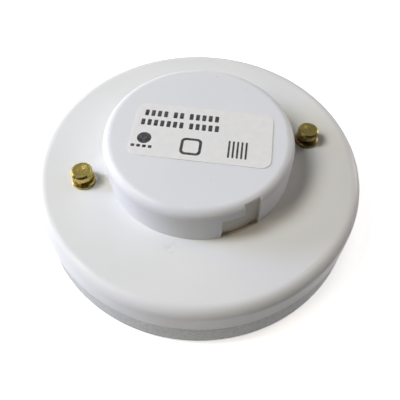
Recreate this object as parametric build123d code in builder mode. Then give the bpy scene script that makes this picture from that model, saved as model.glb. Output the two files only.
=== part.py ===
"""Round LED disc lamp with two mushroom contact pins, lying on its lens.

Origin at the middle of the flat lens face, +Z up the lamp axis towards the
pins, +X through one pin.  Millimetres.
"""
import os
from math import cos, radians, sin

from build123d import *

# Overall form: the pins stand 53 apart beside the boss, and the disc is 75 across
boss_radius = 21.1
pin_boss_gap = 5.4
rim_beyond_pins = 11.0
lens_depth = 8.3
dish_depth = 7.4
boss_rise = 9.6

# Moulded housing
dish_wall = 1.8
back_wall = 2.0
boss_wall = 1.8
dish_edge_radius = 2.5
boss_edge_radius = 2.0
inner_corner_chamfer = 0.5
seam_chamfer = 0.1

# L-shaped key grooves in the side of the boss, angles about +Z from +X
key_depth = 0.8
key_skin = 1.8
key_slot_start = -77.0
key_slot_sweep = 10.5
key_arm_start = -90.3
key_arm_height = 6.1
key_pad_margin = 5.0
key_lip_radius = 0.25
key_count = 2

# Lens cover, its spigot and its snap lugs
lens_wall = 2.0
lens_face_thickness = 1.6
lens_edge_radius = 2.0
lens_inner_chamfer = 1.0
spigot_wall = 1.2
spigot_rise = 3.0
spigot_root = 2.0
spigot_clearance = 0.1
lug_count = 4
lug_first_angle = 45.0
lug_sweep = 12.0
lug_height = 1.0
lug_reach = 0.5
lug_below_top = 0.3
lug_clearance = 0.2

# Contact pins, solder tags and nuts
pin_head_radius = 2.4
pin_head_height = 1.8
pin_head_chamfer = 0.4
pin_dish_radius = 1.5
pin_dish_depth = 0.25
pin_neck_radius = 1.7
pin_neck_height = 1.1
pin_collar_radius = 2.7
pin_collar_height = 1.0
pin_collar_chamfer = 0.3
pin_shank_radius = 1.6
pin_thread_radius = 1.45
pin_fit = 0.05
tag_radius = 2.9
tag_thickness = 0.5
tag_tongue_width = 2.4
tag_board_gap = 0.8
nut_across_flats = 5.0
nut_height = 1.6
pin_end_beyond_nut = 0.3

# LED board and its LEDs
led_board_gap = 0.4
led_board_thickness = 1.6
led_board_above_seam = 0.6
led_length = 3.5
led_width = 2.8
led_height = 1.9
led_cup_radius = 1.15
led_cup_sides = 8
led_cup_depth = 0.12
led_mark = 0.6
led_ring_count = 3
led_inner_ring_radius = 8.5
led_rim_margin = 6.0
leds_per_ring_step = 6

# Posts, screws and ribs that carry the LED board
post_board_gap = 1.2
post_radius = 3.0
post_count = 3
post_first_angle = 90.0
pilot_gap = 0.05
pilot_skin = 1.4
screw_shank_radius = 1.2
screw_length = 5.0
screw_tip_length = 0.8
screw_head_radius = 2.4
screw_head_height = 1.5
screw_head_edge = 0.6
screw_recess_width = 0.7
screw_recess_length = 2.8
screw_recess_depth = 0.8
screw_hole_gap = 0.3
rib_count = 6
rib_first_angle = 30.0
rib_length = 3.3
rib_width = 1.4
rib_edge_gap = 0.2

# Driver board in the mouth of the boss, held by catches on the back wall
driver_board_thickness = 1.2
driver_board_lap = 1.5
catch_count = 3
catch_first_angle = 30.0
catch_sweep = 10.0
catch_thickness = 1.2
catch_gap = 0.1
catch_side_gap = 0.3
catch_nose = 0.9
catch_nose_height = 1.2

# Parts on the driver board
film_length = 13.0
film_width = 5.5
film_height = 8.2
film_edge = 0.6
film_centre = (-5.0, 7.5)
can_radius = 4.0
can_length = 11.5
can_edge = 0.5
can_crimp_from_base = 2.2
can_crimp_depth = 0.35
can_base_x = -2.5
can_y = -5.0
bridge_length = 8.4
bridge_width = 6.4
bridge_height = 3.2
bridge_edge = 0.3
bridge_bore_gap = 9.8
bridge_y = 6.0
bridge_leg_pitch = 5.1
bridge_leg_width = 0.5
fuse_centre = (-12.5, -2.5)
fuse_radius = 1.5
fuse_length = 6.5
bleeder_centre = (-8.0, -2.5)
bleeder_radius = 1.15
bleeder_length = 5.8
resistor_end_step = 0.2
resistor_lead_span = 2.0
wire_radius = 0.35
wire_hole_gap = 0.1
wire_stub = 0.9

# Insulated leads between pins, driver board and LED board
supply_lead_radius = 0.55
supply_lead_inset = 3.2
output_lead_radius = 0.5
output_lead_start_x = -6.0
output_lead_end_x = 6.0
output_lead_y = (-10.5, -13.0)
lead_arc_share = 0.45

# Paper label on the boss
label_length = 30.4
label_width = 15.0
label_corner_radius = 2.2
label_thickness = 0.12
label_centre = (0.57, -0.70)
label_turn = -20.9

# Heights and radii that follow from the sizes above
pin_offset = boss_radius + pin_boss_gap
disc_radius = pin_offset + rim_beyond_pins
back_height = lens_depth + dish_depth
boss_top = back_height + boss_rise
ceiling = back_height - back_wall
boss_ceiling = boss_top - boss_wall
dish_bore = disc_radius - dish_wall
boss_bore = boss_radius - boss_wall
bridge_centre = (boss_bore - bridge_bore_gap, bridge_y)
key_floor = boss_radius - key_depth
key_mouth = boss_radius + key_depth
spigot_radius = dish_bore - spigot_clearance
spigot_bore = spigot_radius - spigot_wall
led_board_radius = spigot_bore - led_board_gap
led_ring_pitch = (led_board_radius - led_rim_margin - led_inner_ring_radius) / (led_ring_count - 1)
led_board_top = lens_depth + led_board_above_seam
led_board_face = led_board_top - led_board_thickness
driver_board_radius = boss_bore + driver_board_lap
driver_board_face = ceiling - driver_board_thickness
wire_end = driver_board_face - wire_stub
post_circle_radius = driver_board_radius + post_board_gap + post_radius
pilot_radius = screw_shank_radius + pilot_gap
screw_hole_radius = screw_shank_radius + screw_hole_gap
tag_tongue_end = driver_board_radius + tag_board_gap
lead_level = (driver_board_face + led_board_top) / 2
lug_top = lens_depth + spigot_rise - lug_below_top
pin_sides = {"left": 180.0, "right": 0.0}
same_place = 0.01


def radial_plane(angle):
    """Upright plane through the lamp axis, its X pointing out along angle."""
    turn = radians(angle)
    return Plane(origin=(0, 0, 0), x_dir=(cos(turn), sin(turn), 0), z_dir=(sin(turn), -cos(turn), 0))


def spoke_plane(angle, height):
    """Level plane at a height, its X pointing out along angle."""
    turn = radians(angle)
    return Plane(origin=(0, 0, height), x_dir=(cos(turn), sin(turn), 0), z_dir=(0, 0, 1))


def equal_angles(first, count):
    """Angles of a full circle of equal steps."""
    return [first + step * 360.0 / count for step in range(count)]


def ring_sector(inner, outer, start, sweep):
    """Flat sector of a ring about the lamp axis."""
    with BuildSketch(mode=Mode.PRIVATE) as sector:
        with BuildLine():
            near = CenterArc((0, 0), inner, start, sweep)
            far = CenterArc((0, 0), outer, start, sweep)
            Line(near @ 0, far @ 0)
            Line(near @ 1, far @ 1)
        make_face()
    return sector.sketch


def lead_path(*points):
    """Square-cornered route with arcs as large as its shorter runs allow."""
    runs = [(Vector(b) - Vector(a)).length for a, b in zip(points, points[1:])]
    radii = [lead_arc_share * min(pair) for pair in zip(runs, runs[1:])]
    with BuildLine(mode=Mode.PRIVATE) as route:
        FilletPolyline(*points, radius=radii)
    return route.line


def wire(*points):
    """Bare wire of a board part along a route of straight runs."""
    with BuildLine(mode=Mode.PRIVATE) as route:
        Polyline(*points)
    with BuildSketch(Plane(origin=route.line @ 0, z_dir=route.line % 0), mode=Mode.PRIVATE) as section:
        Circle(wire_radius)
    return sweep(section.sketch, path=route.line, transition=Transition.RIGHT, mode=Mode.PRIVATE)


def corner(profile, across, up):
    """The vertex of a profile nearest to a place in the profile's own plane."""
    return profile.vertices().sort_by_distance((across, up, 0))[0]


def groove_lips(housing):
    """Edges of the key grooves where they break the outer wall of the boss."""
    lips = []
    for edge in housing.edges():
        radii = [Vector(point.X, point.Y).length for point in (edge @ 0, edge @ 0.5, edge @ 1)]
        on_wall = max(abs(radius - boss_radius) for radius in radii) < same_place
        between_rims = back_height + same_place < edge.center().Z < boss_top - boss_edge_radius - same_place
        if on_wall and between_rims:
            lips.append(edge)
    return lips


def save(item, label):
    """Name a finished piece and write its STEP file."""
    item.part.label = label
    export_step(item.part, f"parts/{label}.step")


os.makedirs("parts", exist_ok=True)


# Base housing: dish and hollow boss moulded in one
with BuildPart() as base_housing:
    with BuildSketch(Plane.XZ) as section:
        with BuildLine():
            Polyline(
                (dish_bore, lens_depth),
                (disc_radius, lens_depth),
                (disc_radius, back_height),
                (boss_radius, back_height),
                (boss_radius, boss_top),
                (0, boss_top),
                (0, boss_ceiling),
                (boss_bore, boss_ceiling),
                (boss_bore, ceiling),
                (dish_bore, ceiling),
                close=True,
            )
        make_face()
        fillet(corner(section, disc_radius, back_height), dish_edge_radius)
        fillet(corner(section, boss_radius, boss_top), boss_edge_radius)
        chamfer(corner(section, dish_bore, ceiling), inner_corner_chamfer)
        chamfer(corner(section, boss_bore, boss_ceiling), inner_corner_chamfer)
        chamfer(corner(section, disc_radius, lens_depth), seam_chamfer)
    revolve(axis=Axis.Z)

    # Thick pads inside the boss, behind the key grooves
    pad_start = key_arm_start - key_pad_margin
    pad_sweep = key_slot_start + key_slot_sweep + key_pad_margin - pad_start
    for turn in equal_angles(0, key_count):
        with BuildSketch(Plane.XY.offset(ceiling)):
            add(ring_sector(key_floor - key_skin, key_floor, pad_start + turn, pad_sweep))
        extrude(amount=boss_top - boss_wall / 2 - ceiling)

    # Key grooves: a slot down from the boss edge and an arm along the dish back
    arm_sweep = key_slot_start + key_slot_sweep - key_arm_start
    for turn in equal_angles(0, key_count):
        with BuildSketch(Plane.XY.offset(back_height)):
            add(ring_sector(key_floor, key_mouth, key_slot_start + turn, key_slot_sweep))
        extrude(amount=boss_rise + key_depth, mode=Mode.SUBTRACT)
        with BuildSketch(Plane.XY.offset(back_height)):
            add(ring_sector(key_floor, key_mouth, key_arm_start + turn, arm_sweep))
        extrude(amount=key_arm_height, mode=Mode.SUBTRACT)

    # Softened lips of the grooves
    fillet(groove_lips(base_housing), key_lip_radius)

    # Holes for the shanks of the contact pins
    with BuildSketch(Plane.XY.offset(ceiling)):
        with Locations((-pin_offset, 0), (pin_offset, 0)):
            Circle(pin_shank_radius + pin_fit)
    extrude(amount=back_wall, mode=Mode.SUBTRACT)

    # Screw posts
    with BuildSketch(Plane.XY.offset(led_board_top)):
        with PolarLocations(post_circle_radius, post_count, post_first_angle):
            Circle(post_radius)
    extrude(amount=ceiling + back_wall / 2 - led_board_top)

    # Ribs that seat the rim of the LED board
    with BuildSketch(Plane.XY.offset(led_board_top)):
        with PolarLocations(led_board_radius - rib_edge_gap, rib_count, rib_first_angle):
            Rectangle(rib_length, rib_width, align=(Align.MAX, Align.CENTER))
    extrude(amount=ceiling + back_wall / 2 - led_board_top)

    # Blind pilot holes in the posts
    with BuildSketch(Plane.XY.offset(led_board_top)):
        with PolarLocations(post_circle_radius, post_count, post_first_angle):
            Circle(pilot_radius)
    extrude(amount=back_height - pilot_skin - led_board_top, mode=Mode.SUBTRACT)

    # Catches that hold the driver board up against the back wall
    catch_face = driver_board_radius + catch_side_gap
    hook_top = driver_board_face - catch_gap
    for angle in equal_angles(catch_first_angle - catch_sweep / 2, catch_count):
        with BuildSketch(radial_plane(angle)):
            with BuildLine():
                Polyline(
                    (catch_face, ceiling + back_wall / 2),
                    (catch_face, hook_top),
                    (catch_face - catch_nose, hook_top),
                    (catch_face, hook_top - catch_nose_height),
                    (catch_face + catch_thickness, hook_top - catch_nose_height),
                    (catch_face + catch_thickness, ceiling + back_wall / 2),
                    close=True,
                )
            make_face()
        revolve(axis=Axis.Z, revolution_arc=catch_sweep)

    # Pockets in the skirt for the snap lugs of the lens cover
    for angle in equal_angles(lug_first_angle - lug_sweep / 2, lug_count):
        with BuildSketch(radial_plane(angle)):
            with Locations((dish_bore - lug_clearance, lug_top + lug_clearance)):
                Rectangle(
                    lug_reach + 2 * lug_clearance,
                    lug_height + 2 * lug_clearance,
                    align=(Align.MIN, Align.MAX),
                )
        revolve(axis=Axis.Z, revolution_arc=lug_sweep, mode=Mode.SUBTRACT)
save(base_housing, "base_housing")


# Lens cover: frosted cup with a spigot and snap lugs
with BuildPart() as lens_cover:
    with BuildSketch(Plane.XZ) as section:
        with BuildLine():
            Polyline(
                (0, 0),
                (disc_radius, 0),
                (disc_radius, lens_depth),
                (spigot_radius, lens_depth),
                (spigot_radius, lens_depth + spigot_rise),
                (spigot_bore, lens_depth + spigot_rise),
                (spigot_bore, lens_depth - spigot_root),
                (disc_radius - lens_wall, lens_depth - spigot_root - spigot_wall),
                (disc_radius - lens_wall, lens_face_thickness),
                (0, lens_face_thickness),
                close=True,
            )
        make_face()
        fillet(corner(section, disc_radius, 0), lens_edge_radius)
        chamfer(corner(section, disc_radius - lens_wall, lens_face_thickness), lens_inner_chamfer)
        chamfer(corner(section, disc_radius, lens_depth), seam_chamfer)
    revolve(axis=Axis.Z)

    for angle in equal_angles(lug_first_angle - lug_sweep / 2 + 1, lug_count):
        with BuildSketch(radial_plane(angle)):
            with BuildLine():
                Polyline(
                    (spigot_radius - spigot_wall / 2, lug_top),
                    (spigot_radius, lug_top),
                    (spigot_radius + lug_reach, lug_top - lug_height / 2),
                    (spigot_radius + lug_reach, lug_top - lug_height),
                    (spigot_radius - spigot_wall / 2, lug_top - lug_height),
                    close=True,
                )
            make_face()
        revolve(axis=Axis.Z, revolution_arc=lug_sweep - 2)
save(lens_cover, "lens_cover")


# LED board, screwed to the posts with its LEDs facing the lens
with BuildPart() as led_board:
    with BuildSketch(Plane.XY.offset(led_board_face)):
        Circle(led_board_radius)
        with PolarLocations(post_circle_radius, post_count, post_first_angle):
            Circle(screw_hole_radius, mode=Mode.SUBTRACT)
    extrude(amount=led_board_thickness)
save(led_board, "led_board")


# LEDs in concentric rings, long side along the ring, a screw post midway between two
led_number = 0
for ring in range(led_ring_count):
    ring_radius = led_inner_ring_radius + ring * led_ring_pitch
    ring_leds = leds_per_ring_step * (ring + 1)
    for angle in equal_angles(post_first_angle + 180.0 / ring_leds, ring_leds):
        led_number += 1
        with BuildPart() as led:
            with BuildSketch(spoke_plane(angle, led_board_face)) as package:
                with Locations((ring_radius, 0)):
                    Rectangle(led_width, led_length)
                chamfer(corner(package, ring_radius + led_width / 2, led_length / 2), led_mark)
            extrude(amount=-led_height)
            with BuildSketch(spoke_plane(angle, led_board_face - led_height)):
                with Locations((ring_radius, 0)):
                    RegularPolygon(led_cup_radius, led_cup_sides)
            extrude(amount=led_cup_depth, mode=Mode.SUBTRACT)
        save(led, f"led_{led_number:02d}")


# Pan-head screws that hold the LED board to its posts
for number, angle in enumerate(equal_angles(post_first_angle, post_count), 1):
    screw_plane = spoke_plane(angle, led_board_face)
    head_top = led_board_face - screw_head_height
    with BuildPart() as board_screw:
        with BuildSketch(screw_plane):
            with Locations((post_circle_radius, 0)):
                Circle(screw_head_radius)
        extrude(amount=-screw_head_height)
        chamfer(board_screw.faces().sort_by(Axis.Z)[0].edges(), screw_head_edge)
        with BuildSketch(screw_plane):
            with Locations((post_circle_radius, 0)):
                Circle(screw_shank_radius)
        extrude(amount=screw_length)
        chamfer(board_screw.faces().sort_by(Axis.Z)[-1].edges(), screw_tip_length, screw_shank_radius / 2)
        with BuildSketch(spoke_plane(angle, head_top)):
            with Locations((post_circle_radius, 0)):
                Rectangle(screw_recess_length, screw_recess_width)
                Rectangle(screw_recess_width, screw_recess_length)
        extrude(amount=screw_recess_depth, mode=Mode.SUBTRACT)
    save(board_screw, f"board_screw_{number}")


# Contact pins: turned mushroom head, neck, seating collar and threaded shank
collar_top = back_height + pin_collar_height
neck_top = collar_top + pin_neck_height
pin_top = neck_top + pin_head_height
tag_face = ceiling - tag_thickness
nut_face = tag_face - nut_height
pin_end = nut_face - pin_end_beyond_nut
for side, angle in pin_sides.items():
    axis_x = pin_offset * round(cos(radians(angle)))
    pin_axis = Axis((axis_x, 0, 0), (0, 0, 1))
    with BuildPart() as contact_pin:
        with BuildSketch(Plane(origin=(axis_x, 0, 0), x_dir=(1, 0, 0), z_dir=(0, -1, 0))) as section:
            with BuildLine():
                Polyline(
                    (0, pin_end),
                    (pin_thread_radius, pin_end),
                    (pin_thread_radius, ceiling),
                    (pin_shank_radius, ceiling),
                    (pin_shank_radius, back_height),
                    (pin_collar_radius, back_height),
                    (pin_collar_radius, collar_top),
                    (pin_neck_radius, collar_top),
                    (pin_neck_radius, neck_top),
                    (pin_head_radius, neck_top),
                    (pin_head_radius, pin_top),
                    (pin_dish_radius, pin_top),
                    (0, pin_top - pin_dish_depth),
                    close=True,
                )
            make_face()
            chamfer(corner(section, pin_collar_radius, collar_top), pin_collar_chamfer)
            chamfer(corner(section, pin_head_radius, neck_top), pin_collar_chamfer / 2)
            chamfer(corner(section, pin_head_radius, pin_top), pin_head_chamfer)
        revolve(axis=pin_axis)
    save(contact_pin, f"contact_pin_{side}")

    # Solder tag under the back wall, its tongue towards the driver board
    with BuildPart() as solder_tag:
        with BuildSketch(spoke_plane(angle, tag_face)):
            with Locations((pin_offset, 0)):
                Circle(tag_radius)
                Rectangle(pin_offset - tag_tongue_end, tag_tongue_width, align=(Align.MAX, Align.CENTER))
                Circle(pin_thread_radius + pin_fit, mode=Mode.SUBTRACT)
        extrude(amount=tag_thickness)
    save(solder_tag, f"solder_tag_{side}")

    with BuildPart() as pin_nut:
        with BuildSketch(spoke_plane(angle, nut_face)):
            with Locations((pin_offset, 0)):
                RegularPolygon(nut_across_flats / 2, 6, major_radius=False, rotation=30)
                Circle(pin_thread_radius + pin_fit, mode=Mode.SUBTRACT)
        extrude(amount=nut_height)
    save(pin_nut, f"pin_nut_{side}")

    # Insulated lead from the tag, under the driver board's rim, up to its pad
    tag_end = tag_tongue_end + 2 * supply_lead_radius
    pad_end = driver_board_radius - supply_lead_inset
    with BuildPart() as supply_lead:
        route_plane = radial_plane(angle)
        route = lead_path(
            route_plane.from_local_coords((tag_end, tag_face)),
            route_plane.from_local_coords((tag_end, lead_level)),
            route_plane.from_local_coords((pad_end, lead_level)),
            route_plane.from_local_coords((pad_end, driver_board_face)),
        )
        with BuildSketch(Plane(origin=route @ 0, z_dir=route % 0)):
            Circle(supply_lead_radius)
        sweep(path=route)
    save(supply_lead, f"supply_lead_{side}")


# Driver board: a disc across the mouth of the boss, drilled for its parts
def film_wires():
    """Places of the film capacitor's two wires."""
    reach = film_length / 2 - 2 * film_edge
    return [(film_centre[0] + side * reach, film_centre[1]) for side in (-1, 1)]


def resistor_wires(centre, length):
    """Places of a resistor's two wires, beyond the ends of its body."""
    reach = length / 2 + resistor_lead_span
    return [(centre[0], centre[1] + side * reach) for side in (-1, 1)]


def can_wires():
    """Places of the electrolytic capacitor's two wires."""
    return [(can_base_x - resistor_lead_span, can_y + side * can_radius / 2) for side in (-1, 1)]


wire_places = (
    film_wires()
    + can_wires()
    + resistor_wires(fuse_centre, fuse_length)
    + resistor_wires(bleeder_centre, bleeder_length)
)
with BuildPart() as driver_board:
    with BuildSketch(Plane.XY.offset(driver_board_face)):
        Circle(driver_board_radius)
        with Locations(*wire_places):
            Circle(wire_radius + wire_hole_gap, mode=Mode.SUBTRACT)
    extrude(amount=driver_board_thickness)
save(driver_board, "driver_board")


# Film capacitor: potted box on two wires
with BuildPart() as film_capacitor:
    with BuildSketch(Plane.XY.offset(ceiling)):
        with Locations(film_centre):
            Rectangle(film_length, film_width)
    extrude(amount=film_height)
    fillet(film_capacitor.edges().filter_by(Axis.Z), film_edge)
    chamfer(film_capacitor.faces().sort_by(Axis.Z)[-1].edges(), film_edge / 2)
    with BuildSketch(Plane.XY.offset(ceiling)):
        with Locations(*film_wires()):
            Circle(wire_radius)
    extrude(amount=-driver_board_thickness - wire_stub)
save(film_capacitor, "film_capacitor")


# Electrolytic capacitor: crimped can lying along X, wires bent down
can_axis_height = ceiling + can_radius
can_base = (can_base_x, can_y, can_axis_height)
with BuildPart() as electrolytic_capacitor:
    with BuildSketch(Plane(origin=can_base, x_dir=(1, 0, 0), z_dir=(0, -1, 0))) as section:
        with BuildLine():
            Polyline(
                (0, 0),
                (can_length, 0),
                (can_length, can_radius),
                (can_crimp_from_base + can_crimp_depth, can_radius),
                (can_crimp_from_base, can_radius - can_crimp_depth),
                (can_crimp_from_base - can_crimp_depth, can_radius),
                (0, can_radius),
                close=True,
            )
        make_face()
        chamfer(corner(section, can_length, can_radius), can_edge)
        chamfer(corner(section, 0, can_radius), can_edge)
    revolve(axis=Axis(can_base, (1, 0, 0)))
    for x, y in can_wires():
        add(wire((can_base_x, y, can_axis_height), (x, y, can_axis_height), (x, y, wire_end)))
save(electrolytic_capacitor, "electrolytic_capacitor")


# Bridge rectifier: flat package with two legs along each long side
with BuildPart() as bridge_rectifier:
    with BuildSketch(Plane.XY.offset(ceiling)):
        with Locations(bridge_centre):
            Rectangle(bridge_length, bridge_width)
    extrude(amount=bridge_height)
    chamfer(bridge_rectifier.faces().sort_by(Axis.Z)[-1].edges(), bridge_edge)
    with BuildSketch(Plane.XY.offset(ceiling)):
        with Locations(bridge_centre):
            with GridLocations(bridge_leg_pitch, 0.1, 2, 1):
                Rectangle(bridge_leg_width * 2, bridge_width + 4 * bridge_leg_width)
    extrude(amount=bridge_leg_width)
save(bridge_rectifier, "bridge_rectifier")


def axial_resistor(centre, radius, length):
    """Axial resistor along Y on the driver board, its wires bent down into it."""
    x, y = centre
    height = ceiling + radius
    with BuildPart() as resistor:
        with BuildSketch(Plane(origin=(x, y, height), x_dir=(0, 1, 0), z_dir=(1, 0, 0))) as section:
            with BuildLine():
                Polyline(
                    (-length / 2, 0),
                    (length / 2, 0),
                    (length / 2, radius),
                    (length / 4, radius),
                    (length / 4, radius - resistor_end_step),
                    (-length / 4, radius - resistor_end_step),
                    (-length / 4, radius),
                    (-length / 2, radius),
                    close=True,
                )
            make_face()
            for end in (-length / 2, length / 2):
                chamfer(corner(section, end, radius), radius / 3)
        revolve(axis=Axis((x, y, height), (0, 1, 0)))
        for wire_x, wire_y in resistor_wires(centre, length):
            add(wire((x, y, height), (wire_x, wire_y, height), (wire_x, wire_y, wire_end)))
    return resistor


save(axial_resistor(fuse_centre, fuse_radius, fuse_length), "fusible_resistor")
save(axial_resistor(bleeder_centre, bleeder_radius, bleeder_length), "bleeder_resistor")


# Insulated leads from the driver board across to the back of the LED board
for polarity, lead_y in zip(("positive", "negative"), output_lead_y):
    with BuildPart() as output_lead:
        route = lead_path(
            (output_lead_start_x, lead_y, driver_board_face),
            (output_lead_start_x, lead_y, lead_level),
            (output_lead_end_x, lead_y, lead_level),
            (output_lead_end_x, lead_y, led_board_top),
        )
        with BuildSketch(Plane(origin=route @ 0, z_dir=route % 0)):
            Circle(output_lead_radius)
        sweep(path=route)
    save(output_lead, f"output_lead_{polarity}")


# Blank paper label on the boss
with BuildPart() as rating_label:
    with BuildSketch(Plane.XY.offset(boss_top)):
        with Locations(Location((*label_centre, 0), (0, 0, label_turn))):
            RectangleRounded(label_length, label_width, label_corner_radius)
    extrude(amount=label_thickness)
save(rating_label, "rating_label")
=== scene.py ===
import math

import bmesh
import bpy
from mathutils import Matrix, Vector


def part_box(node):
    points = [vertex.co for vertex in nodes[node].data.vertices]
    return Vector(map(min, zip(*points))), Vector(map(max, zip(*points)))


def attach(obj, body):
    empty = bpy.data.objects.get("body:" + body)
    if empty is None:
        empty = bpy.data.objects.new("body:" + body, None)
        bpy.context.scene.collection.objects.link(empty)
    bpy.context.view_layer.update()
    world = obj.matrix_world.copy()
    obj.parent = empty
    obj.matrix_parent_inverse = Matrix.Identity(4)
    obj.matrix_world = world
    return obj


# The frame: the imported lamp, lying on its lens, pins up, +X through the right pin
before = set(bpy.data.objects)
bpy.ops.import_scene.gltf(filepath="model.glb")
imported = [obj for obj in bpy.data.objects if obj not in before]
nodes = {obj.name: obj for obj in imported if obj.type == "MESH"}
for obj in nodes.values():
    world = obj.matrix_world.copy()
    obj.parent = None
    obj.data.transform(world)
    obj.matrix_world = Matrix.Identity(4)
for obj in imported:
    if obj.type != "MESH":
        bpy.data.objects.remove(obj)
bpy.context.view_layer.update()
BODY = "root"
MM = 0.001

# Camera; azimuth 0 looks along +Y with +X to the right
IMAGE_PIXELS = 400
SENSOR_MM = 36.0
CAMERA_AZIMUTH = -14.0
CAMERA_ELEVATION = 53.35
CAMERA_DISTANCE = 119.4 * MM
CAMERA_ROLL = 0.83
FOCAL_PIXELS = 499.3
TARGET = Vector((0.0, 0.0, 12.0 * MM))
TARGET_PIXEL = (198.5, 169.0)

# Studio lamps: name, azimuth and elevation from the camera's side, diameter, watts and colour
LAMP_DISTANCE = 0.8
LAMPS = (
    ("window_top", -87.0, 60.0, 0.22, 1.90, (0.99, 1.0, 0.98)),
    ("window_middle", -87.0, 50.0, 0.22, 1.65, (0.97, 1.0, 1.0)),
    ("window_low", -100.0, 22.0, 0.30, 4.06, (0.59, 0.665, 1.0)),
    ("window_front", -60.0, 45.0, 0.22, 0.98, (1.0, 0.785, 0.545)),
    ("window_back", -120.0, 12.0, 0.30, 1.53, (1.0, 0.87, 0.31)),
    ("far_right", 110.0, 60.0, 0.22, 0.49, (1.0, 0.90, 0.72)),
    ("right_wall", 120.0, 12.0, 0.30, 1.62, (1.0, 0.915, 0.94)),
)

# Room: the light that it gives, its level in mirrors on the near and the far side, the span of
# directions from near to far in which that level rises, and the white backdrop
ROOM_LIGHT = 0.01
ROOM_NEAR = 0.05
ROOM_FAR = 0.42
ROOM_RISE = (-0.5, 0.6)
BACKDROP = 1.0

# Floor, a white table top, in metres: its glow near the lamp, the distances over which that glow
# rises to the backdrop's, its white where it is seen, and its greys where it throws light back
FLOOR_SIZE = 3.0
FLOOR_GLOW = 0.82
FLOOR_RISE = (0.1, 0.6)
FLOOR_WHITE = 0.95
FLOOR_GREYS = (0.42, 0.44)

# Contact shadow: its reach in metres, its level, and the shares of open sky over which it fades
CONTACT_REACH = 0.004
CONTACT_SHADE = 0.80
CONTACT_FADE = (0.5, 0.95)

# Label print, in the label's own frame: u along its long side, v across it, in mm
LABEL_TURN = -20.9
INK_HEIGHT = 0.012
CORNER_STEPS = 4
# Rows of blocks: size and corner of a block, and each row's first u, its v and its words' lengths
TEXT_PITCH = 1.42
TEXT_BLOCK = (0.86, 1.75)
TEXT_CORNER = 0.2
WORD_GAP = 0.75
TEXT_ROWS = ((-13.0, 4.65, (4, 2, 5)), (-13.4, 1.85, (7, 5)))
# Dot: u, v and radius
DOT = (-12.3, -2.7, 1.55)
DOT_SIDES = 40
# Ticks and bars: first u, v, count, pitch and size
TICKS = (-14.4, -5.0, 4, 1.25, (0.8, 0.75))
BARS = (6.1, -3.4, 5, 0.92, (0.42, 4.6))
MARK_CORNER = 0.15
# Square: u, v, side and stroke
SQUARE = (-2.0, -3.8, 4.6, 0.62)
SQUARE_CORNERS = (1.1, 0.6)

# Key grooves in the boss wall, where shade is painted into the recess, in mm: radius at the middle
# of their recess, and the distances from it and the heights over which that painted shade fades out
GROOVE_MIDDLE = 20.55
GROOVE_SIDE_FADE = (0.34, 0.44)
GROOVE_TOP_FADE = (23.9, 24.3)
GROOVE_PAINTED_SHADE = (0.84, 0.79, 0.70)

# Painted light: slight tints of the dish's flat back and of the boss, for the colour of the light
# on them, and the heights over which they set in, mm
BACK_RISE = (14.7, 15.7)
BACK_PAINTED_LIGHT_TINT = (1.0, 0.999, 0.982)
BOSS_RISE = (16.0, 17.0)
BOSS_PAINTED_LIGHT_TINT = (0.994, 1.0, 1.02)

# Faint smudge on the near side of the dish, and the distances over which it fades out, in mm
SMUDGE_PLACE = (-11.0, -20.9, 15.7)
SMUDGE_FADE = (0.76, 1.9)

# Contact pins: scale and distortion of the rings that colour them and of those that score them
PIN_RINGS = ((330.0, 0.8), (1100.0, 0.6))

# Contact pins, in mm: radii and heights over which the rim's painted dark reflection sets in,
# heights and distances outwards over which the painted shade on the neck fades, and the X over
# which the right pin's painted shade sets in
PIN_RIM_REFLECTION_RADII = (1.95, 2.15)
PIN_RIM_REFLECTION_HEIGHTS = (19.1, 19.25)
PIN_NECK_SHADE_HEIGHTS = (17.75, 17.85)
PIN_NECK_SHADE_OUTER = (0.6, 1.6)
PIN_RIGHT_SHADE = (-5.0, 5.0)

# LED cup: distances from the middle of the LED's lower face, as shares of its size
LED_CUP = (0.27, 0.29)

# Plain plastics: piece, name, dark and light tone, and roughness
PLASTICS = (
    ("led_board", "white_solder_mask", (0.82, 0.84, 0.82), (0.88, 0.90, 0.88), 0.35),
    ("driver_board", "green_solder_mask", (0.03, 0.17, 0.07), (0.05, 0.24, 0.10), 0.3),
    ("film_capacitor", "red_dip", (0.36, 0.06, 0.03), (0.48, 0.10, 0.05), 0.3),
    ("electrolytic_capacitor", "black_sleeve", (0.02, 0.02, 0.03), (0.05, 0.05, 0.07), 0.35),
    ("bridge_rectifier", "black_epoxy", (0.02, 0.02, 0.02), (0.05, 0.05, 0.05), 0.5),
    ("fusible_resistor", "grey_lacquer", (0.30, 0.40, 0.44), (0.38, 0.48, 0.52), 0.35),
    ("bleeder_resistor", "beige_lacquer", (0.55, 0.43, 0.28), (0.64, 0.52, 0.35), 0.35),
    ("supply_lead", "white_sleeve", (0.74, 0.74, 0.72), (0.82, 0.82, 0.80), 0.4),
    ("output_lead_positive", "red_sleeve", (0.42, 0.02, 0.02), (0.55, 0.04, 0.03), 0.4),
    ("output_lead_negative", "dark_sleeve", (0.02, 0.02, 0.02), (0.05, 0.05, 0.05), 0.4),
)

# A mix node's sockets for colours, which share their names with those for numbers
MIX_COLOURS = (6, 7)
MIX_RESULT = 2


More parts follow.
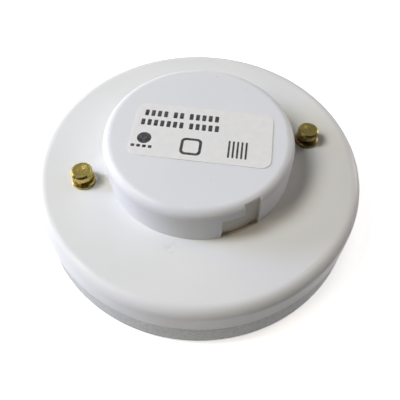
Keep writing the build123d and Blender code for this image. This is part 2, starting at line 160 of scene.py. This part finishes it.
class Graph:
    """A node tree under construction."""

    def __init__(self, tree):
        self.tree = tree

    def node(self, kind, **values):
        """A node with some of its inputs or settings given."""
        made = self.tree.nodes.new(kind)
        for name, value in values.items():
            if hasattr(made, name):
                setattr(made, name, value)
            else:
                made.inputs[name.replace("_", " ")].default_value = value
        return made

    def feed(self, socket, source):
        """Link an output to an input, or give the input a fixed value."""
        if isinstance(source, bpy.types.NodeSocket):
            self.tree.links.new(source, socket)
        else:
            socket.default_value = source

    def calculate(self, operation, *values):
        """Result of an operation on values, each an output or a number."""
        made = self.node("ShaderNodeMath", operation=operation)
        for socket, value in zip(made.inputs, values):
            self.feed(socket, value)
        return made.outputs["Value"]

    def measure(self, operation, *vectors):
        """Number that an operation takes from vectors, each an output or fixed."""
        made = self.node("ShaderNodeVectorMath", operation=operation)
        for socket, vector in zip(made.inputs, vectors):
            self.feed(socket, vector)
        return made.outputs["Value"]

    def slope(self, fac, low, high, start=0.3, end=0.7):
        """Value from low to high as the factor goes from start to end."""
        made = self.node("ShaderNodeMapRange")
        ends = {"From Min": start, "From Max": end, "To Min": low, "To Max": high}
        for name, value in ends.items():
            made.inputs[name].default_value = value
        self.feed(made.inputs["Value"], fac)
        return made.outputs["Result"]


class Shader(Graph):
    """A material under construction: its node tree and its main shader."""

    def __init__(self, name):
        self.material = bpy.data.materials.new(name)
        self.material.use_nodes = True
        super().__init__(self.material.node_tree)
        self.bsdf = self.tree.nodes["Principled BSDF"]
        self.out = self.tree.nodes["Material Output"]
        coordinates = self.node("ShaderNodeTexCoord").outputs
        self.place = coordinates["Object"]
        self.share = coordinates["Generated"]

    def set(self, **sockets):
        """Fixed values on the main shader's own sockets."""
        for name, value in sockets.items():
            self.bsdf.inputs[name.replace("_", " ")].default_value = value
        return self

    def axes(self):
        """X, Y and Z in object space."""
        made = self.node("ShaderNodeSeparateXYZ")
        self.feed(made.inputs["Vector"], self.place)
        return [made.outputs[axis] for axis in "XYZ"]

    def flat(self, x, y):
        """Vector with an X, a Y and no Z."""
        made = self.node("ShaderNodeCombineXYZ")
        self.feed(made.inputs["X"], x)
        self.feed(made.inputs["Y"], y)
        return made.outputs["Vector"]

    def across(self, length, span, low, high):
        """Value from low to high as a length goes across a span in mm."""
        start, end = span
        return self.slope(length, low, high, start * MM, end * MM)

    def noise(self, scale, detail=3.0, roughness=0.5):
        """Noise in object space, scale in features a metre."""
        made = self.node("ShaderNodeTexNoise", Scale=scale, Detail=detail, Roughness=roughness)
        self.feed(made.inputs["Vector"], self.place)
        return made.outputs["Fac"]

    def cells(self, scale):
        """Distance within cells in object space, scale in cells a metre."""
        made = self.node("ShaderNodeTexVoronoi", Scale=scale)
        self.feed(made.inputs["Vector"], self.place)
        return made.outputs["Distance"]

    def rings(self, place, scale, distortion):
        """Rings about the Z axis of a place."""
        made = self.node("ShaderNodeTexWave", wave_type="RINGS", rings_direction="Z")
        for name, source in (("Vector", place), ("Scale", scale), ("Distortion", distortion)):
            self.feed(made.inputs[name], source)
        return made.outputs["Fac"]

    def ramp(self, fac, *stops):
        """Colour by factor, with two stops as (position, colour)."""
        made = self.node("ShaderNodeValToRGB")
        for element, (position, colour) in zip(made.color_ramp.elements, stops):
            element.position = position
            element.color = (*colour, 1.0)
        self.feed(made.inputs["Fac"], fac)
        return made.outputs["Color"]

    def mix(self, fac, a, b, blend="MIX"):
        """Mix of two colours, each an output or a fixed colour."""
        made = self.node("ShaderNodeMix", data_type="RGBA", blend_type=blend)
        self.feed(made.inputs["Factor"], fac)
        for index, colour in zip(MIX_COLOURS, (a, b)):
            linked = isinstance(colour, bpy.types.NodeSocket)
            self.feed(made.inputs[index], colour if linked else (*colour, 1.0))
        return made.outputs[MIX_RESULT]

    def surface(self, colour, roughness, height, strength, depth):
        """The material with a colour, a roughness and a bump, its depth in mm."""
        bump = self.node("ShaderNodeBump", Strength=strength, Distance=depth * MM)
        self.feed(bump.inputs["Height"], height)
        self.feed(self.bsdf.inputs["Base Color"], colour)
        self.feed(self.bsdf.inputs["Roughness"], roughness)
        self.feed(self.bsdf.inputs["Normal"], bump.outputs["Normal"])
        return self.material


def middle(node):
    """Centre of a CAD node's box."""
    low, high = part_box(node)
    return (Vector(low) + Vector(high)) / 2


def groove_shade_mask(s):
    """One on the recess of the key grooves, where shade is painted in, zero on the rest of the
    housing.
    """
    x, y, z = s.axes()
    radius = s.measure("LENGTH", s.flat(x, y))
    off = s.calculate("ABSOLUTE", s.calculate("SUBTRACT", radius, GROOVE_MIDDLE * MM))
    near = s.across(off, GROOVE_SIDE_FADE, 1.0, 0.0)
    below = s.across(z, GROOVE_TOP_FADE, 1.0, 0.0)
    return s.calculate("MULTIPLY", near, below)


def white_plastic():
    """Moulded white housing: satin and fine-grained, with painted light tints, painted shade in the
    key grooves, a few specks, a smudge.
    """
    s = Shader("white_plastic").set(IOR=1.5, Specular_IOR_Level=0.28)
    tone = s.ramp(s.noise(55, 4.0), (0.3, (0.768, 0.782, 0.790)), (0.7, (0.792, 0.806, 0.815)))
    specks = s.slope(s.noise(900, 2.0), 0.0, 0.35, 0.73, 0.80)
    tone = s.mix(specks, tone, (0.45, 0.43, 0.40))
    away = s.measure("DISTANCE", s.place, Vector(SMUDGE_PLACE) * MM)
    patches = s.slope(s.noise(1100, 2.0), 0.0, 0.8, 0.45, 0.6)
    smudge = s.calculate("MULTIPLY", s.across(away, SMUDGE_FADE, 1.0, 0.0), patches)
    tone = s.mix(smudge, tone, (0.70, 0.70, 0.71))
    height = s.axes()[2]
    # Painted light: a warm tint on the dish's flat back and a cool one on the boss
    painted_light_tint = s.mix(s.across(height, BACK_RISE, 0.0, 1.0), (1.0, 1.0, 1.0), BACK_PAINTED_LIGHT_TINT)
    painted_light_tint = s.mix(s.across(height, BOSS_RISE, 0.0, 1.0), painted_light_tint, BOSS_PAINTED_LIGHT_TINT)
    tone = s.mix(1.0, tone, painted_light_tint, "MULTIPLY")
    # Painted shade: the recesses of the key grooves darkened and browned as if shaded
    tone = s.mix(groove_shade_mask(s), tone, s.mix(1.0, tone, GROOVE_PAINTED_SHADE, "MULTIPLY"))
    return s.surface(tone, s.slope(s.noise(160), 0.36, 0.48), s.noise(4200, 2.0), 0.10, 0.05)


def frosted_lens():
    """Grey frosted plastic with a fine stipple."""
    s = Shader("frosted_lens").set(IOR=1.5, Transmission_Weight=0.25, Specular_IOR_Level=0.12)
    tone = s.ramp(s.noise(1300, 3.0, 0.7), (0.32, (0.57, 0.59, 0.59)), (0.68, (0.82, 0.84, 0.84)))
    return s.surface(tone, s.slope(s.noise(1500), 0.35, 0.55), s.cells(2200), 0.5, 0.1)


def turned_brass():
    """Turned brass: rings about the pin's axis, a brown bloom, a painted dark reflection on the
    rim, painted shade on the neck and on the right pin.
    """
    s = Shader("turned_brass").set(Metallic=1.0)
    # Distance outwards from the pin's own axis, whichever side of the lamp the pin is on
    x, y, z = s.axes()
    outwards = s.calculate("SUBTRACT", s.calculate("ABSOLUTE", x), middle("contact_pin_right").x)
    spot = s.flat(outwards, y)
    coarse, fine = (s.rings(spot, *values) for values in PIN_RINGS)
    # Painted dark reflection on the rim of the head's face
    edge = s.across(s.measure("LENGTH", spot), PIN_RIM_REFLECTION_RADII, 0.0, 0.75)
    rim_dark_reflection = s.calculate("MULTIPLY", edge, s.across(z, PIN_RIM_REFLECTION_HEIGHTS, 0.0, 1.0))
    # Painted shade on the neck under the head
    below = s.across(z, PIN_NECK_SHADE_HEIGHTS, 0.72, 0.0)
    neck_shade = s.calculate("MULTIPLY", below, s.across(outwards, PIN_NECK_SHADE_OUTER, 1.0, 0.15))
    bloom = s.slope(s.noise(700, 4.0), 0.0, 1.0, 0.35, 0.7)
    tone = s.mix(bloom, (0.69, 0.56, 0.175), (0.47, 0.37, 0.12))
    tone = s.mix(s.slope(coarse, 0.0, 0.5, 0.2, 0.8), tone, (0.42, 0.32, 0.085))
    tone = s.mix(rim_dark_reflection, tone, (0.30, 0.25, 0.08))
    tone = s.mix(neck_shade, tone, (0.30, 0.23, 0.10))
    # Painted shade on the right pin, as if in the boss's shadow
    tone = s.mix(s.across(x, PIN_RIGHT_SHADE, 0.0, 0.55), tone, (0.14, 0.10, 0.04))
    return s.surface(tone, s.slope(s.noise(900), 0.22, 0.36), fine, 0.30, 0.04)


def label_paper():
    """White coated paper with a faint fibre."""
    s = Shader("label_paper").set(Specular_IOR_Level=0.35)
    tone = s.ramp(s.noise(700, 4.0), (0.35, (0.80, 0.805, 0.795)), (0.65, (0.83, 0.835, 0.825)))
    return s.surface(tone, s.slope(s.noise(400), 0.45, 0.6), s.noise(3500), 0.12, 0.04)


def label_ink():
    """Dark grey ink, worn thin in places."""
    s = Shader("label_ink").set(Specular_IOR_Level=0.3)
    tone = s.ramp(s.noise(1300), (0.35, (0.03, 0.031, 0.034)), (0.75, (0.13, 0.13, 0.135)))
    return s.surface(tone, s.slope(s.noise(900), 0.4, 0.6), s.noise(3500), 0.12, 0.04)


def led_package():
    """Cream LED package with a yellow phosphor in the cup on its lower face."""
    s = Shader("led_package")
    tone = s.ramp(s.noise(900), (0.3, (0.86, 0.85, 0.80)), (0.7, (0.92, 0.91, 0.86)))
    off = s.measure("DISTANCE", s.share, (0.5, 0.5, 0.0))
    tone = s.mix(s.slope(off, 1.0, 0.0, *LED_CUP), tone, (0.86, 0.66, 0.12))
    return s.surface(tone, s.slope(s.noise(1500), 0.34, 0.48), s.noise(3600), 0.15, 0.04)


def plain_plastic(name, dark, light, rough):
    """Moulded or dipped finish between two close tones with a slight texture."""
    s = Shader(name)
    tone = s.ramp(s.noise(900), (0.3, dark), (0.7, light))
    roughness = s.slope(s.noise(1530), rough - 0.06, rough + 0.08)
    return s.surface(tone, roughness, s.noise(3600), 0.15, 0.04)


def plated_metal(name, dark, light):
    """Plated or tinned metal with a slightly mottled bloom."""
    s = Shader(name).set(Metallic=1.0)
    tone = s.ramp(s.noise(1400, 4.0), (0.3, dark), (0.7, light))
    return s.surface(tone, s.slope(s.noise(2100), 0.22, 0.40), s.noise(5000), 0.15, 0.03)


def dress(name, material):
    """Give a CAD node its finish."""
    data = nodes[name].data
    data.materials.clear()
    data.materials.append(material)


def add(name, data):
    """A new object in the scene."""
    made = bpy.data.objects.new(name, data)
    bpy.context.scene.collection.objects.link(made)
    return made


def point_round(u, v, radius, degrees):
    """Point at a radius and an angle from a centre."""
    angle = math.radians(degrees)
    return u + radius * math.cos(angle), v + radius * math.sin(angle)


def round_outline(u, v, radius):
    """Points round a circle, counter-clockwise."""
    return [point_round(u, v, radius, 360.0 * i / DOT_SIDES) for i in range(DOT_SIDES)]


def rounded_outline(u, v, width, height, radius):
    """Points round a rectangle with rounded corners, counter-clockwise."""
    points = []
    for quarter, (side_u, side_v) in enumerate(((1, 1), (-1, 1), (-1, -1), (1, -1))):
        corner_u = u + side_u * (width / 2 - radius)
        corner_v = v + side_v * (height / 2 - radius)
        for step in range(CORNER_STEPS + 1):
            degrees = 90.0 * (quarter + step / CORNER_STEPS)
            points.append(point_round(corner_u, corner_v, radius, degrees))
    return points


def ink_shapes():
    """Outlines of the print, as (outer, inner) with no inner where the shape is solid."""
    shapes = []
    for start, v, words in TEXT_ROWS:
        u = start
        for count in words:
            for _ in range(count):
                shapes.append((rounded_outline(u, v, *TEXT_BLOCK, TEXT_CORNER), None))
                u += TEXT_PITCH
            u += WORD_GAP
    shapes.append((round_outline(*DOT), None))
    for start, v, count, pitch, size in (TICKS, BARS):
        for i in range(count):
            shapes.append((rounded_outline(start + i * pitch, v, *size, MARK_CORNER), None))
    u, v, side, stroke = SQUARE
    sides = zip((side, side - 2 * stroke), SQUARE_CORNERS)
    shapes.append([rounded_outline(u, v, width, width, corner) for width, corner in sides])
    return shapes


def make_label_print():
    """Thin ink on the label: plain blocks for its rows of print and plain marks below them."""
    centre = middle("rating_label")
    centre.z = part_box("rating_label")[1][2]
    place = Matrix.Translation(centre) @ Matrix.Rotation(math.radians(LABEL_TURN), 4, "Z")
    bm = bmesh.new()

    def ring(outline, height):
        """Corners of an outline at a height above the label."""
        return [bm.verts.new(place @ Vector((u * MM, v * MM, height * MM))) for u, v in outline]

    def wall(first, second):
        """Faces from one ring to another."""
        for i in range(len(first)):
            j = (i + 1) % len(first)
            bm.faces.new((first[i], first[j], second[j], second[i]))

    for outer, inner in ink_shapes():
        low, top = ring(outer, 0.0), ring(outer, INK_HEIGHT)
        wall(low, top)
        if inner:
            low_in, top_in = ring(inner, 0.0), ring(inner, INK_HEIGHT)
            wall(top_in, low_in)
            wall(top, top_in)
            wall(low_in, low)
        else:
            bm.faces.new(top)
            bm.faces.new(low[::-1])
    mesh = bpy.data.meshes.new("label_print")
    bm.to_mesh(mesh)
    bm.free()
    mesh.materials.append(label_ink())
    piece = add("label_print", mesh)
    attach(piece, BODY)


def unit_from(azimuth, elevation):
    """Direction from the lamp towards a place seen at an azimuth and elevation."""
    a, e = math.radians(azimuth), math.radians(elevation)
    return Vector((math.sin(a) * math.cos(e), -math.cos(a) * math.cos(e), math.sin(e)))


def facing(target, azimuth, elevation, distance):
    """Placement at a distance from a target, turned to face it."""
    back = unit_from(azimuth, elevation)
    turn = back.to_track_quat("Z", "Y").to_matrix().to_4x4()
    return Matrix.Translation(target + back * distance) @ turn


def make_camera():
    """The photograph's camera: position, roll, focal length and framing."""
    data = bpy.data.cameras.new("camera")
    data.sensor_fit = "HORIZONTAL"
    data.sensor_width = SENSOR_MM
    data.lens = FOCAL_PIXELS / IMAGE_PIXELS * SENSOR_MM
    data.shift_x = (IMAGE_PIXELS / 2 - TARGET_PIXEL[0]) / IMAGE_PIXELS
    data.shift_y = (TARGET_PIXEL[1] - IMAGE_PIXELS / 2) / IMAGE_PIXELS
    data.clip_start = 1.0 * MM
    camera = add("camera", data)
    place = facing(TARGET, CAMERA_AZIMUTH, CAMERA_ELEVATION, CAMERA_DISTANCE)
    camera.matrix_world = place @ Matrix.Rotation(math.radians(CAMERA_ROLL), 4, "Z")
    bpy.context.scene.camera = camera


def make_lamps():
    """Soft studio lamps round the object, all facing it."""
    for name, azimuth, elevation, diameter, watts, colour in LAMPS:
        data = bpy.data.lights.new(name, "AREA")
        data.shape = "DISK"
        data.size = diameter
        data.energy = watts
        data.color = colour
        lamp = add(name, data)
        lamp.matrix_world = facing(Vector(), CAMERA_AZIMUTH + azimuth, elevation, LAMP_DISTANCE)


def make_world():
    """Dim even room light and a white backdrop; mirrors see the room lighter on the far side."""
    world = bpy.data.worlds.new("room")
    bpy.context.scene.world = world
    world.use_nodes = True
    g = Graph(world.node_tree)
    background = g.tree.nodes["Background"]
    background.inputs["Color"].default_value = (1.0, 1.0, 1.0, 1.0)
    towards = g.node("ShaderNodeTexCoord").outputs["Generated"]
    along = g.measure("DOT_PRODUCT", towards, -unit_from(CAMERA_AZIMUTH, 0.0))
    mirrored = g.slope(along, ROOM_NEAR, ROOM_FAR, *ROOM_RISE)
    path = g.node("ShaderNodeLightPath").outputs
    levels = {"Is Glossy Ray": mirrored, "Is Transmission Ray": ROOM_FAR, "Is Camera Ray": BACKDROP}
    strength = ROOM_LIGHT
    for kind, level in levels.items():
        pick = g.node("ShaderNodeMix")
        for name, source in (("Factor", path[kind]), ("A", strength), ("B", level)):
            g.feed(pick.inputs[name], source)
        strength = pick.outputs["Result"]
    g.feed(background.inputs["Strength"], strength)


def make_floor():
    """Table top that glows white where it is seen and keeps the lamp's soft shadow."""
    s = Shader("table_top").set(Roughness=1.0, Specular_IOR_Level=0.0)
    dark, light = FLOOR_GREYS
    tone = s.ramp(s.noise(6, 2.0), (0.3, (dark,) * 3), (0.7, (light,) * 3))
    s.feed(s.bsdf.inputs["Base Color"], tone)
    shade = s.node("ShaderNodeBsdfDiffuse", Color=(FLOOR_WHITE, FLOOR_WHITE, FLOOR_WHITE, 1.0))
    open_sky = s.node("ShaderNodeAmbientOcclusion", Distance=CONTACT_REACH, samples=8)
    contact = s.slope(open_sky.outputs["AO"], CONTACT_SHADE, 1.0, *CONTACT_FADE)
    level = s.slope(s.measure("LENGTH", s.place), FLOOR_GLOW, BACKDROP, *FLOOR_RISE)
    glow = s.node("ShaderNodeEmission")
    s.feed(glow.inputs["Strength"], s.calculate("MULTIPLY", contact, level))
    both = s.node("ShaderNodeAddShader")
    s.feed(both.inputs[0], shade.outputs[0])
    s.feed(both.inputs[1], glow.outputs[0])
    path = s.node("ShaderNodeLightPath").outputs
    seen = s.calculate("MAXIMUM", path["Is Glossy Ray"], path["Is Transmission Ray"])
    seen = s.calculate("MAXIMUM", seen, path["Is Camera Ray"])
    pick = s.node("ShaderNodeMixShader")
    for socket, source in zip(pick.inputs, (seen, s.bsdf.outputs[0], both.outputs[0])):
        s.feed(socket, source)
    s.feed(s.out.inputs["Surface"], pick.outputs[0])
    mesh = bpy.data.meshes.new("table_top")
    half = FLOOR_SIZE / 2
    corners = [(-half, -half, 0), (half, -half, 0), (half, half, 0), (-half, half, 0)]
    mesh.from_pydata(corners, [], [(0, 1, 2, 3)])
    mesh.materials.append(s.material)
    floor = add("table_top", mesh)


make_camera()
make_lamps()
make_world()
make_floor()

tin = plated_metal("tinned_brass", (0.60, 0.59, 0.56), (0.74, 0.73, 0.70))
finishes = {
    "base_housing": white_plastic(),
    "lens_cover": frosted_lens(),
    "contact_pin": turned_brass(),
    "rating_label": label_paper(),
    "board_screw": plated_metal("zinc_plate", (0.55, 0.55, 0.54), (0.68, 0.68, 0.67)),
    "solder_tag": tin,
    "pin_nut": tin,
    "led": led_package(),
}
for piece_name, *values in PLASTICS:
    finishes[piece_name] = plain_plastic(*values)
for name in nodes:
    # The longest fitting name wins, since the LED board's name starts like an LED's
    key = max((k for k in finishes if name.startswith(k)), key=len)
    dress(name, finishes[key])

make_label_print()

bpy.context.scene.view_settings.view_transform = "Standard"
